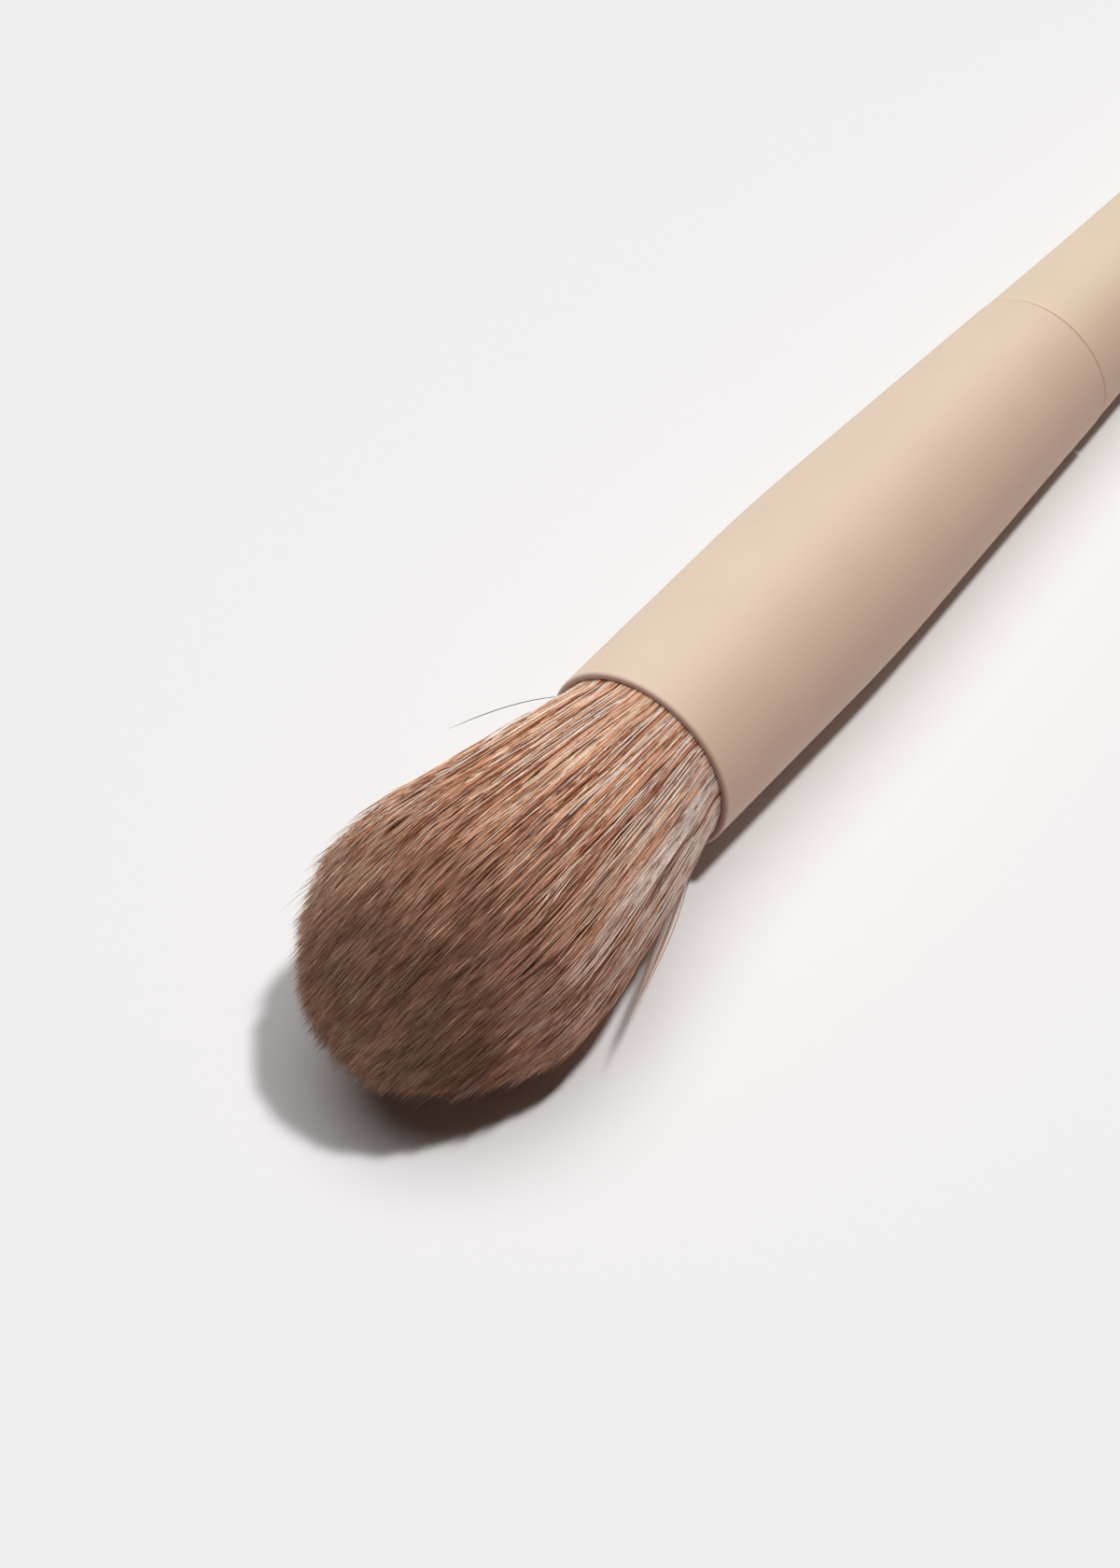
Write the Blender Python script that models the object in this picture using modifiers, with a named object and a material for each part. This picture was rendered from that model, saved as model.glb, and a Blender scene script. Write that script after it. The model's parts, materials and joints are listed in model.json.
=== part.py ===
"""A blush brush with a domed tuft, a long tapered ferrule and a slim handle, lying on a table.

Every piece is built on the brush's own axis: +Z points at the tip of the tuft and z = 0 is the mouth of the
ferrule. A station is a distance behind the mouth, a height is a distance in front of it. An empty then lays
the brush down, so that the tuft and the far end of the handle touch the table at z = 0.
"""

import math
import random

import bmesh
import bpy
from mathutils import Vector

MM = 0.001

# Driving sizes of the ferrule
FERRULE_LENGTH = 57.0 * MM
MOUTH_RADIUS = 8.5 * MM
REAR_RADIUS = 6.75 * MM
FERRULE_WALL = 0.6 * MM
STRAIGHT_LENGTH = 19.5 * MM
SHOULDER_LENGTH = 10.3 * MM
EDGE_ROUNDING = 0.25 * MM

# Driving sizes of the tuft
HAIR_OUT = 37.2 * MM
BELLY_RADIUS = 12.3 * MM
BELLY_HEIGHT = 24.4 * MM
WIDENING_POWER = 1.42
DOME_POWER = 1.67
TIP_DRAW_IN = 0.10
PRESSED_DEPTH = 0.5 * MM
PRESSED_REACH = 0.8 * MM

# Strands of the tuft
STRAND_COUNT = 400
STRAND_SIDES = 3
STRAND_RADIUS = 0.29 * MM
STRAND_TIP_LENGTH = 2.2 * MM
STRAND_TIP_SCATTER = 0.35 * MM
STRAND_TIP_WIDTH = 0.04
CURVED_STRAND_SHARE = 0.7
CURVED_STRAND_PARTS = 3
STRAND_SEED = 7
GOLDEN_ANGLE = math.pi * (3 - math.sqrt(5))

# Driving sizes of the root of the hair and of what holds it
ROOT_SETBACK = 1.5 * MM
ROOT_LENGTH = 11.0 * MM
WAIST_DEPTH = 1.1 * MM
WAIST_FROM_END = 2.0 * MM
THREAD_DIAMETER = 0.7 * MM
THREAD_TURNS = 4
PLUG_LENGTH = 7.0 * MM
PLUG_DISH = 1.2 * MM

# Driving sizes of the handle
HANDLE_LENGTH = 55.7 * MM
SEAM_STEP = 0.1 * MM
HANDLE_SLOPE = 0.058
BUTT_RADIUS = 5.0 * MM
BUTT_ROUNDING_LENGTH = 5.0 * MM
BUTT_FACE_RADIUS = 2.2 * MM
TENON_LENGTH = 24.0 * MM
TENON_GROOVES = 3
TENON_GROOVE_WIDTH = 1.6 * MM
TENON_GROOVE_DEPTH = 0.5 * MM
TENON_CHAMFER = 0.8 * MM
TENON_GLUE_LENGTH = 16.0 * MM
TENON_GLUE_SETBACK = 1.5 * MM

# Clearance between neighbours
FIT_GAP = 0.3 * MM

# Fineness of the shapes
TURN_STEPS = 48
HIDDEN_TURN_STEPS = 36
CORNER_PARTS = 4
SHOULDER_PARTS = 8
TAPER_PARTS = 14
BUTT_PARTS = 8
DISH_PARTS = 4
SEARCH_STEPS = 50
STEEPEST_TILT = math.radians(45)
CONTACT_SAMPLES = 400
MERGE_DISTANCE = 0.05 * MM
SHARP_ANGLE = math.radians(35)

# Finishes
BEIGE_LACQUER = (0.78, 0.61, 0.46)
LACQUER_ROUGHNESS = 0.5
COPPER_HAIR = (0.42, 0.25, 0.18)
HAIR_ROUGHNESS = 0.55
AMBER_GLUE = (0.72, 0.56, 0.30)
GLUE_ROUGHNESS = 0.35
PALE_THREAD = (0.75, 0.70, 0.62)
THREAD_ROUGHNESS = 0.8


# Radii along the brush

def ferrule_radius(station):
    """The outer radius of the ferrule: straight behind the mouth, eased over the shoulder, then a taper."""
    shoulder_end = STRAIGHT_LENGTH + SHOULDER_LENGTH
    slope = (MOUTH_RADIUS - REAR_RADIUS) / (FERRULE_LENGTH - (STRAIGHT_LENGTH + shoulder_end) / 2)
    if station <= STRAIGHT_LENGTH:
        return MOUTH_RADIUS
    if station <= shoulder_end:
        return MOUTH_RADIUS - slope * (station - STRAIGHT_LENGTH) ** 2 / (2 * SHOULDER_LENGTH)
    return REAR_RADIUS + slope * (FERRULE_LENGTH - station)


def bore_radius(station):
    """The inner radius of the ferrule."""
    return ferrule_radius(station) - FERRULE_WALL


ROOT_RADIUS = bore_radius(0) - FIT_GAP
TENON_RADIUS = bore_radius(FERRULE_LENGTH) - FIT_GAP
HANDLE_START = FERRULE_LENGTH + FIT_GAP
HANDLE_END = HANDLE_START + HANDLE_LENGTH
SEAM_RADIUS = REAR_RADIUS - SEAM_STEP
TAPER_LENGTH = HANDLE_LENGTH - BUTT_ROUNDING_LENGTH


def handle_radius(station):
    """The outer radius of the handle: it leaves the seam on the ferrule's taper and eases to its far end."""
    t = (station - HANDLE_START) / TAPER_LENGTH
    if t <= 1:
        fall = 3 * t ** 2 - 2 * t ** 3
        start = t - 2 * t ** 2 + t ** 3
        return SEAM_RADIUS - (SEAM_RADIUS - BUTT_RADIUS) * fall - HANDLE_SLOPE * TAPER_LENGTH * start
    along = (station - HANDLE_START - TAPER_LENGTH) / BUTT_ROUNDING_LENGTH
    return BUTT_FACE_RADIUS + (BUTT_RADIUS - BUTT_FACE_RADIUS) * math.sqrt(max(0.0, 1 - along ** 2))


def widening_radius(height):
    """The radius that the outermost hair keeps on its way from the mouth out to the belly and past it."""
    if height >= BELLY_HEIGHT:
        past = (height - BELLY_HEIGHT) / (HAIR_OUT - BELLY_HEIGHT)
        return BELLY_RADIUS * (1 - TIP_DRAW_IN * past ** 2)
    left = 1 - max(0.0, height) / BELLY_HEIGHT
    return ROOT_RADIUS + (BELLY_RADIUS - ROOT_RADIUS) * (1 - left ** WIDENING_POWER)


def dome_radius(height):
    """The radius of the trimmed dome above the belly."""
    past = max(0.0, (height - BELLY_HEIGHT) / (HAIR_OUT - BELLY_HEIGHT))
    return BELLY_RADIUS * math.sqrt(max(0.0, 1 - past ** DOME_POWER))


def hair_end(share):
    """The height at which a hair that starts at this share of the root's radius meets the dome."""
    low = BELLY_HEIGHT
    high = HAIR_OUT
    for _ in range(SEARCH_STEPS):
        middle = (low + high) / 2
        if share * widening_radius(middle) < dome_radius(middle):
            low = middle
        else:
            high = middle
    return low


# Resting pose

def mouth_height_on_rigid(tilt):
    """How high the mouth's centre lies above the table when ferrule or handle rests on it at this tilt."""
    heights = []
    for k in range(CONTACT_SAMPLES + 1):
        station = FERRULE_LENGTH * k / CONTACT_SAMPLES
        heights.append(station * math.sin(tilt) + ferrule_radius(station) * math.cos(tilt))
        station = HANDLE_START + HANDLE_LENGTH * k / CONTACT_SAMPLES
        heights.append(station * math.sin(tilt) + handle_radius(station) * math.cos(tilt))
    return max(heights)


def mouth_height_on_tuft(tilt):
    """How high the mouth's centre lies above the table when the pressed tuft rests on it at this tilt."""
    return BELLY_RADIUS * math.cos(tilt) - PRESSED_DEPTH - BELLY_HEIGHT * math.sin(tilt)


def resting_pose():
    """The tilt at which tuft and handle both touch the table, and how high the mouth's centre then is."""
    low = 0.0
    high = STEEPEST_TILT
    for _ in range(SEARCH_STEPS):
        tilt = (low + high) / 2
        if mouth_height_on_tuft(tilt) > mouth_height_on_rigid(tilt):
            low = tilt
        else:
            high = tilt
    return tilt, mouth_height_on_rigid(tilt)


TILT, MOUTH_HEIGHT = resting_pose()


# Collections, materials and shared shaping

for leftover in list(bpy.data.objects):
    bpy.data.objects.remove(leftover, do_unlink=True)

brush = bpy.data.collections.new("blush_brush")
cutters = bpy.data.collections.new("cutters")
bpy.context.scene.collection.children.link(brush)
bpy.context.scene.collection.children.link(cutters)


def material(name, colour, roughness, metallic=0.0):
    made = bpy.data.materials.new(name)
    made.use_nodes = True
    shader = made.node_tree.nodes["Principled BSDF"]
    shader.inputs["Base Color"].default_value = (*colour, 1.0)
    shader.inputs["Roughness"].default_value = roughness
    shader.inputs["Metallic"].default_value = metallic
    made.diffuse_color = (*colour, 1.0)
    return made


def finish(piece, parent, finish_material):
    """Puts a piece on the brush's axis and gives it its material and smooth shading."""
    piece.data.materials.append(finish_material)
    piece.parent = parent
    piece.data.shade_smooth()
    piece.data.set_sharp_from_angle(angle=SHARP_ANGLE)


def make_cutter(name, mesh):
    """A helper object that only feeds a Boolean."""
    cutter = bpy.data.objects.new(name, mesh)
    cutters.objects.link(cutter)
    cutter.hide_render = True
    cutter.display_type = "WIRE"
    return cutter


def add_boolean(piece, name, operation, tool):
    boolean = piece.modifiers.new(name, "BOOLEAN")
    boolean.operation = operation
    boolean.solver = "EXACT"
    boolean.object = tool


def turned(name, profile, steps, ring=False):
    """A solid of revolution from a row of (radius, station) points; a ring's row comes back to its start."""
    mesh = bpy.data.meshes.new(name)
    form = bmesh.new()
    corners = [form.verts.new((radius, 0.0, -station)) for radius, station in profile]
    following = corners[1:] + corners[:1] if ring else corners[1:]
    for corner, after in zip(corners, following):
        form.edges.new((corner, after))
    form.to_mesh(mesh)
    form.free()
    piece = bpy.data.objects.new(name, mesh)
    brush.objects.link(piece)
    screw = piece.modifiers.new("turn", "SCREW")
    screw.axis = "Z"
    screw.angle = math.tau
    screw.steps = steps
    screw.render_steps = steps
    screw.use_merge_vertices = True
    screw.merge_threshold = MERGE_DISTANCE
    screw.use_smooth_shade = True
    return piece


def solid_mesh(piece):
    """The piece's mesh as its modifiers leave it, with caps and poles welded."""
    bpy.context.view_layer.update()
    evaluated = piece.evaluated_get(bpy.context.evaluated_depsgraph_get())
    mesh = bpy.data.meshes.new_from_object(evaluated)
    form = bmesh.new()
    form.from_mesh(mesh)
    bmesh.ops.remove_doubles(form, verts=form.verts, dist=MERGE_DISTANCE)
    bmesh.ops.recalc_face_normals(form, faces=form.faces)
    form.to_mesh(mesh)
    form.free()
    return mesh


def rounded_corner(centre_radius, centre_station, start, end):
    """Points of an edge's rounding, with angles in degrees counted from outwards towards the far end."""
    points = []
    for k in range(CORNER_PARTS + 1):
        angle = math.radians(start + (end - start) * k / CORNER_PARTS)
        radius = centre_radius + EDGE_ROUNDING * math.cos(angle)
        station = centre_station + EDGE_ROUNDING * math.sin(angle)
        points.append((radius, station))
    return points


# Ferrule

def ferrule_profile():
    """From the lip down the outside, round the rear edge and back up the bore to the lip's inner edge."""
    stations = [STRAIGHT_LENGTH + SHOULDER_LENGTH * k / SHOULDER_PARTS for k in range(SHOULDER_PARTS + 1)]
    lip = rounded_corner(MOUTH_RADIUS - EDGE_ROUNDING, EDGE_ROUNDING, -90, 0)
    rear = rounded_corner(REAR_RADIUS - EDGE_ROUNDING, FERRULE_LENGTH - EDGE_ROUNDING, 0, 90)
    inner_lip = rounded_corner(bore_radius(0) + EDGE_ROUNDING, EDGE_ROUNDING, 180, 270)
    outside = [(ferrule_radius(station), station) for station in stations]
    inside = [(bore_radius(station), station) for station in reversed(stations)]
    rear_bore = [(bore_radius(FERRULE_LENGTH), FERRULE_LENGTH)]
    return lip + outside + rear + rear_bore + inside + inner_lip


def build_ferrule(parent):
    ferrule = turned("ferrule", ferrule_profile(), TURN_STEPS, ring=True)
    finish(ferrule, parent, material("beige_painted_metal", BEIGE_LACQUER, LACQUER_ROUGHNESS))


# Handle

def tenon_profile():
    """The tenon's outer side, from its chamfered front down its glue grooves."""
    front = HANDLE_START - TENON_LENGTH
    floor = TENON_RADIUS - TENON_GROOVE_DEPTH
    pitch = (TENON_LENGTH - TENON_CHAMFER) / (TENON_GROOVES + 1)
    points = [(0.0, front), (TENON_RADIUS - TENON_CHAMFER, front), (TENON_RADIUS, front + TENON_CHAMFER)]
    for k in range(TENON_GROOVES):
        middle = front + TENON_CHAMFER + pitch * (k + 1)
        near = middle - TENON_GROOVE_WIDTH / 2
        far = middle + TENON_GROOVE_WIDTH / 2
        points += [
            (TENON_RADIUS, near),
            (floor, near + TENON_GROOVE_DEPTH),
            (floor, far - TENON_GROOVE_DEPTH),
            (TENON_RADIUS, far),
        ]
    return points + [(TENON_RADIUS, HANDLE_START)]


def handle_profile():
    """The tenon, the shoulder behind the seam, the taper and the rounded butt with its small flat."""
    shoulder = rounded_corner(SEAM_RADIUS - EDGE_ROUNDING, HANDLE_START + EDGE_ROUNDING, -90, 0)
    stations = [HANDLE_START + TAPER_LENGTH * k / TAPER_PARTS for k in range(1, TAPER_PARTS + 1)]
    for k in range(1, BUTT_PARTS + 1):
        quarter_turn = math.pi / 2 * k / BUTT_PARTS
        stations.append(HANDLE_START + TAPER_LENGTH + BUTT_ROUNDING_LENGTH * math.sin(quarter_turn))
    outside = [(handle_radius(station), station) for station in stations]
    return tenon_profile() + shoulder + outside + [(0.0, HANDLE_END)]


def build_handle(parent):
    handle = turned("handle", handle_profile(), TURN_STEPS)
    finish(handle, parent, material("beige_painted_wood", BEIGE_LACQUER, LACQUER_ROUGHNESS))


# Glue between tenon and ferrule

def build_tenon_glue(parent):
    front = HANDLE_START - TENON_LENGTH + TENON_GLUE_SETBACK
    back = front + TENON_GLUE_LENGTH
    inner = TENON_RADIUS + FIT_GAP
    profile = [
        (inner, front),
        (bore_radius(front) - FIT_GAP, front),
        (bore_radius(back) - FIT_GAP, back),
        (inner, back),
    ]
    glue = turned("tenon_glue", profile, HIDDEN_TURN_STEPS, ring=True)
    finish(glue, parent, material("tenon_glue", AMBER_GLUE, GLUE_ROUGHNESS))


# Glue plug behind the roots

def build_root_glue_plug(parent):
    front = ROOT_SETBACK + ROOT_LENGTH + FIT_GAP
    back = front + PLUG_LENGTH
    rim = bore_radius(back) - FIT_GAP
    profile = [(0.0, front), (bore_radius(front) - FIT_GAP, front)]
    for k in range(DISH_PARTS + 1):
        share = 1 - k / DISH_PARTS
        profile.append((rim * share, back - PLUG_DISH * (1 - share ** 2)))
    plug = turned("root_glue_plug", profile, HIDDEN_TURN_STEPS)
    finish(plug, parent, material("root_glue", AMBER_GLUE, GLUE_ROUGHNESS))


# Thread round the roots

WAIST_BACK = ROOT_SETBACK + ROOT_LENGTH - WAIST_FROM_END
WAIST_FRONT = WAIST_BACK - THREAD_TURNS * THREAD_DIAMETER - 2 * FIT_GAP
WAIST_RADIUS = ROOT_RADIUS - WAIST_DEPTH


def build_root_binding(parent):
    """Turns of thread side by side, flat on the waist and round on the outside."""
    inner = WAIST_RADIUS + FIT_GAP
    start = WAIST_FRONT + FIT_GAP
    end = start + THREAD_DIAMETER * THREAD_TURNS
    half_thread = THREAD_DIAMETER / 2
    profile = [(inner, start)]
    for k in range(THREAD_TURNS):
        middle = start + THREAD_DIAMETER * k + half_thread
        for angle in (-90, -30, 30):
            radius = inner + half_thread * (1 + math.cos(math.radians(angle)))
            station = middle + half_thread * math.sin(math.radians(angle))
            profile.append((radius, station))
    profile += [(inner + half_thread, end), (inner, end)]
    binding = turned("root_binding", profile, HIDDEN_TURN_STEPS, ring=True)
    finish(binding, parent, material("binding_thread", PALE_THREAD, THREAD_ROUGHNESS))


# Tuft

def root_profile():
    """The resin-set root bundle, drawn in to a waist where the thread holds it."""
    back = ROOT_SETBACK + ROOT_LENGTH
    return [
        (0.0, ROOT_SETBACK),
        (ROOT_RADIUS, ROOT_SETBACK),
        (ROOT_RADIUS, WAIST_FRONT - WAIST_DEPTH / 2),
        (WAIST_RADIUS, WAIST_FRONT),
        (WAIST_RADIUS, WAIST_BACK),
        (ROOT_RADIUS, WAIST_BACK + WAIST_DEPTH / 2),
        (ROOT_RADIUS, back),
        (0.0, back),
    ]


def strand_path(index, chance):
    """The points of one strand, from inside the root to its pointed tip, and its thickness at each of them.

    Strands start in a sunflower's spiral and all fan out by the same law, so that no two of them meet. Those that
    come near the table lie on it.
    """
    share = math.sqrt((index + 0.5) / STRAND_COUNT) * (1 - STRAND_RADIUS / ROOT_RADIUS)
    turn = index * GOLDEN_ANGLE
    tip = hair_end(share) - chance.uniform(0.0, STRAND_TIP_SCATTER)
    body = tip - STRAND_TIP_LENGTH
    parts = CURVED_STRAND_PARTS if share > CURVED_STRAND_SHARE else 1
    heights = [-ROOT_SETBACK - STRAND_RADIUS]
    heights += [body * (k + 1) / parts for k in range(parts)]
    widths = [widening_radius(height) / ROOT_RADIUS for height in heights]
    points = []
    for height in heights + [tip]:
        radius = share * widening_radius(height)
        point = Vector((radius * math.cos(turn), radius * math.sin(turn), height))
        above_table = point.x * math.cos(TILT) + point.z * math.sin(TILT) + MOUTH_HEIGHT
        if above_table < PRESSED_REACH:
            point.x += STRAND_RADIUS / 2 - above_table
        points.append(point)
    return points, widths + [STRAND_TIP_WIDTH]


def strand_mesh():
    """All strands as closed many-sided spikes in one mesh."""
    section = bpy.data.curves.new("strand_section", "CURVE")
    section.dimensions = "2D"
    outline = section.splines.new("POLY")
    outline.points.add(STRAND_SIDES - 1)
    outline.use_cyclic_u = True
    for k, corner in enumerate(outline.points):
        angle = math.tau * k / STRAND_SIDES
        corner.co = (STRAND_RADIUS * math.cos(angle), STRAND_RADIUS * math.sin(angle), 0.0, 1.0)
    section_object = bpy.data.objects.new("strand_section", section)
    cutters.objects.link(section_object)
    strands = bpy.data.curves.new("strands", "CURVE")
    strands.dimensions = "3D"
    strands.bevel_mode = "OBJECT"
    strands.bevel_object = section_object
    strands.use_fill_caps = True
    chance = random.Random(STRAND_SEED)
    for index in range(STRAND_COUNT):
        points, widths = strand_path(index, chance)
        spline = strands.splines.new("POLY")
        spline.points.add(len(points) - 1)
        for control, point, width in zip(spline.points, points, widths):
            control.co = (*point, 1.0)
            control.radius = width
    strands_object = bpy.data.objects.new("strands", strands)
    cutters.objects.link(strands_object)
    mesh = solid_mesh(strands_object)
    bpy.data.objects.remove(strands_object)
    bpy.data.objects.remove(section_object)
    return mesh


def table_slab():
    """A slab whose top is the table that the tuft is pressed on."""
    mesh = bpy.data.meshes.new("table_slab")
    form = bmesh.new()
    reach = 2 * (HANDLE_END + HAIR_OUT)
    bmesh.ops.create_cube(form, size=1.0)
    bmesh.ops.scale(form, vec=(reach, reach, BELLY_RADIUS), verts=form.verts)
    form.to_mesh(mesh)
    form.free()
    slab = make_cutter("table_slab", mesh)
    slab.location.z = -BELLY_RADIUS / 2
    return slab


def build_bristle_tuft(parent):
    """The strands, fused to the root bundle and cut flat where the tuft is pressed on the table."""
    root = turned("root_bundle", root_profile(), HIDDEN_TURN_STEPS)
    tuft = bpy.data.objects.new("bristle_tuft", solid_mesh(root))
    bpy.data.objects.remove(root)
    brush.objects.link(tuft)
    strands = make_cutter("strands", strand_mesh())
    strands.parent = parent
    add_boolean(tuft, "fuse_strands", "UNION", strands)
    add_boolean(tuft, "press_flat", "DIFFERENCE", table_slab())
    finish(tuft, parent, material("copper_hair", COPPER_HAIR, HAIR_ROUGHNESS))


# Assembly

def lay_down():
    """The empty that turns the brush from upright to its resting tilt, with its middle over x = 0."""
    front = -HAIR_OUT * math.cos(TILT)
    back = HANDLE_END * math.cos(TILT) + BUTT_FACE_RADIUS * math.sin(TILT)
    axis = bpy.data.objects.new("brush_axis", None)
    brush.objects.link(axis)
    axis.rotation_euler = (0.0, TILT - math.pi / 2, 0.0)
    axis.location = (-(front + back) / 2, 0.0, MOUTH_HEIGHT)
    return axis


def main():
    axis = lay_down()
    build_ferrule(axis)
    build_handle(axis)
    build_tenon_glue(axis)
    build_root_glue_plug(axis)
    build_root_binding(axis)
    build_bristle_tuft(axis)


main()
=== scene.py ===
"""Looks of a blush brush that lies on a table: its hair, lacquered ferrule and handle, and a plain studio.

Every piece is modelled on the brush's own axis and then laid where the frame says: +Z points at the tip of
the tuft, +X up from the table, and z = 0 is the mouth of the ferrule. A station is a distance behind the
mouth and a height is a distance in front of it.
"""

import json
import math

import bmesh
import bpy
import numpy as np
from bpy.props import FloatProperty, FloatVectorProperty, IntProperty, PointerProperty
from mathutils import Matrix, Vector
from mathutils.kdtree import KDTree


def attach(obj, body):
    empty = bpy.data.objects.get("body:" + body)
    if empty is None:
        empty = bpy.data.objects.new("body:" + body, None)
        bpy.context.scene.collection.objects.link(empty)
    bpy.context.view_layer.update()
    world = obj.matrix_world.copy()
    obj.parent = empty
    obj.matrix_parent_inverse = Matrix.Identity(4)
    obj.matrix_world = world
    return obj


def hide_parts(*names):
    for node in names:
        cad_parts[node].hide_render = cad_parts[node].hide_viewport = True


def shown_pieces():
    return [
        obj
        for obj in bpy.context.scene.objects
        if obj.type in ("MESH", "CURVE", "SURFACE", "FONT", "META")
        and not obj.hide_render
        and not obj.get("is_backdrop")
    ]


bl_info = {
    "name": "Blush brush",
    "version": (1, 0, 0),
    "blender": (4, 5, 0),
    "location": "View3D > Sidebar > Blush brush",
    "description": "Dresses a blush brush with hair and lacquer, on a plain table",
    "category": "Object",
}

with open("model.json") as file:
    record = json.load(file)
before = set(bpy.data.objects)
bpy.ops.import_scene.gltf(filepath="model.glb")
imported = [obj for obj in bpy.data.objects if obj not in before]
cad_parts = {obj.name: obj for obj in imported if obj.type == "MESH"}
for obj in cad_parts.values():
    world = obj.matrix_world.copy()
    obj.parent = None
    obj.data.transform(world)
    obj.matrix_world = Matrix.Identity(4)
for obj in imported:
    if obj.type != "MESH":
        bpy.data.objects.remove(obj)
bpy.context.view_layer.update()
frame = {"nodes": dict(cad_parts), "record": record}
MOUNTS = {mount["name"]: mount for mount in frame["record"]["mounts"]}

MM = 0.001

# Sizes of the brush, the same as in the frame
FERRULE_LENGTH = 57.0 * MM
MOUTH_RADIUS = 8.5 * MM
REAR_RADIUS = 6.75 * MM
FERRULE_WALL = 0.6 * MM
STRAIGHT_LENGTH = 19.5 * MM
SHOULDER_LENGTH = 10.3 * MM
HANDLE_LENGTH = 55.7 * MM
HANDLE_SLOPE = 0.058
BUTT_RADIUS = 5.0 * MM
BUTT_ROUNDING_LENGTH = 5.0 * MM
BUTT_FACE_RADIUS = 2.2 * MM
TENON_LENGTH = 24.0 * MM
TENON_CHAMFER = 0.8 * MM
SEAM_STEP = 0.1 * MM
FIT_GAP = 0.3 * MM
HAIR_OUT = 37.2 * MM
BELLY_RADIUS = 12.3 * MM
BELLY_HEIGHT = 24.4 * MM
WIDENING_POWER = 1.42
DOME_POWER = 1.67
TIP_DRAW_IN = 0.10
ROOT_SETBACK = 1.5 * MM
ROOT_LENGTH = 11.0 * MM
WAIST_DEPTH = 1.1 * MM
WAIST_FROM_END = 2.0 * MM
WAIST_LENGTH = 3.4 * MM

# Fineness of the turned pieces
TURN_STEPS = 160
ARC_PARTS = 8
TAPER_PARTS = 24
MERGE_DISTANCE = 1e-7
SHARP_ANGLE = math.radians(40)

GOLDEN_ANGLE = math.pi * (3 - math.sqrt(5))

# Sides of the tuft, as angles from up towards +Y, and how far round it what lies there reaches
UNDERSIDE = math.radians(-153)
# LIT_SIDE faces the lamps: painted light keeps the hair there copper nearer to its tips
LIT_SIDE = math.radians(50)
RIGHT_EDGE = math.radians(-120)
SWELLING_SIDE = math.radians(-112)
SWELLING_REACH = math.radians(38)
SWELLING_LENGTH = 30.0 * MM
# Where pale hair is most likely: partly pale strands, partly painted highlights on the sides that face the
# lamps
PALE_AND_HIGHLIGHT_RIGHT = math.radians(-76)
PALE_AND_HIGHLIGHT_RIGHT_REACH = math.radians(42)
PALE_AND_HIGHLIGHT_LEFT = math.radians(55)
PALE_AND_HIGHLIGHT_LEFT_REACH = math.radians(28)
STREAKY_SIDE = math.radians(-80)
STREAKY_REACH = math.radians(45)

# Sockets of a Mix node that mixes colours
MIX_FACTOR = 0
MIX_FIRST = 6
MIX_SECOND = 7
MIX_RESULT = 2


# The brush's own axis

HANDLE_START = FERRULE_LENGTH + FIT_GAP
HANDLE_END = HANDLE_START + HANDLE_LENGTH
TO_TIP = -Vector(MOUNTS["butt_face"]["axis"]).normalized()
MOUTH = Vector(MOUNTS["butt_face"]["pos_m"]) + TO_TIP * HANDLE_END
ACROSS = Vector((0.0, 1.0, 0.0))
UPWARD = ACROSS.cross(TO_TIP)
BRUSH_TO_WORLD = Matrix((
    (UPWARD.x, ACROSS.x, TO_TIP.x, MOUTH.x),
    (UPWARD.y, ACROSS.y, TO_TIP.y, MOUTH.y),
    (UPWARD.z, ACROSS.z, TO_TIP.z, MOUTH.z),
    (0.0, 0.0, 0.0, 1.0),
))


def ferrule_radius(station):
    """The outer radius of the ferrule: straight behind the mouth, eased over the shoulder, then a taper."""
    shoulder_end = STRAIGHT_LENGTH + SHOULDER_LENGTH
    slope = (MOUTH_RADIUS - REAR_RADIUS) / (FERRULE_LENGTH - (STRAIGHT_LENGTH + shoulder_end) / 2)
    if station <= STRAIGHT_LENGTH:
        return MOUTH_RADIUS
    if station <= shoulder_end:
        return MOUTH_RADIUS - slope * (station - STRAIGHT_LENGTH) ** 2 / (2 * SHOULDER_LENGTH)
    return REAR_RADIUS + slope * (FERRULE_LENGTH - station)


def bore_radius(station):
    """The inner radius of the ferrule."""
    return ferrule_radius(station) - FERRULE_WALL


def handle_radius(station, seam_radius):
    """The outer radius of the handle, from the seam to its rounded end."""
    taper_length = HANDLE_LENGTH - BUTT_ROUNDING_LENGTH
    t = (station - HANDLE_START) / taper_length
    if t <= 1:
        fall = 3 * t ** 2 - 2 * t ** 3
        start = t - 2 * t ** 2 + t ** 3
        return seam_radius - (seam_radius - BUTT_RADIUS) * fall - HANDLE_SLOPE * taper_length * start
    along = (station - HANDLE_START - taper_length) / BUTT_ROUNDING_LENGTH
    return BUTT_FACE_RADIUS + (BUTT_RADIUS - BUTT_FACE_RADIUS) * math.sqrt(max(0.0, 1 - along ** 2))


def widening_radius(height):
    """The radius that the outermost hair keeps at each height, from the mouth to the belly and past it."""
    past = np.clip((height - BELLY_HEIGHT) / (HAIR_OUT - BELLY_HEIGHT), 0, None)
    left = np.clip(1 - np.maximum(height, 0) / BELLY_HEIGHT, 0, 1)
    root = bore_radius(0) - FIT_GAP / 3
    below = root + (BELLY_RADIUS - root) * (1 - left ** WIDENING_POWER)
    return np.where(height < BELLY_HEIGHT, below, BELLY_RADIUS * (1 - TIP_DRAW_IN * past ** 2))


def dome_radius(height):
    """The radius of the trimmed dome above the belly."""
    past = np.clip((height - BELLY_HEIGHT) / (HAIR_OUT - BELLY_HEIGHT), 0, 1)
    return BELLY_RADIUS * np.sqrt(1 - past ** DOME_POWER)


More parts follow.
